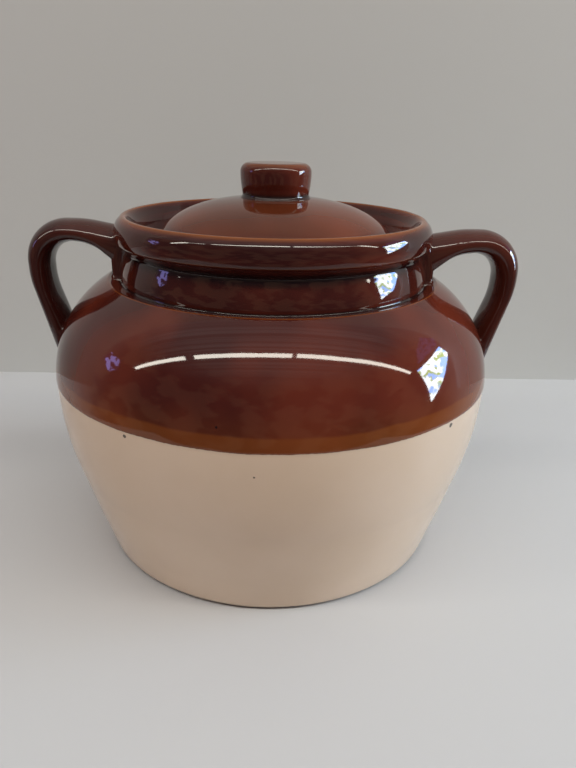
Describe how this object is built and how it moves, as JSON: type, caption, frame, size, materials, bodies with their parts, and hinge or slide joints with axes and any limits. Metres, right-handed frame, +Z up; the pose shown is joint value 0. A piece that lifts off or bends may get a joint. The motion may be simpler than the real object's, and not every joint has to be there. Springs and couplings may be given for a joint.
{
  "type": "lidded bean pot",
  "caption": "Round-shouldered stoneware bean pot in two-colour glaze, with a flared lip, strap handles at the sides and a loose domed lid with a drum knob.",
  "frame": {"origin": "centre of the foot, on the surface the pot stands on", "axes": "+Z up along the pot's axis; +X through the right handle, so the two handles lie along X"},
  "size_m": [0.2072, 0.184, 0.1597],
  "materials": {
    "pot_glaze": "gloss, brown over cream",
    "brown_glaze": "gloss"
  },
  "bodies": {
    "pot": {"pot_body": "pot_glaze", "handle_left": "brown_glaze", "handle_right": "brown_glaze"},
    "lid": {"lid": "brown_glaze", "lid_knob": "brown_glaze"}
  },
  "joints": [
    {"name": "lid_lift", "type": "slide", "parent": "pot", "child": "lid", "axis": [0, 0, 1], "range_m": [0, 0.06]}
  ]
}
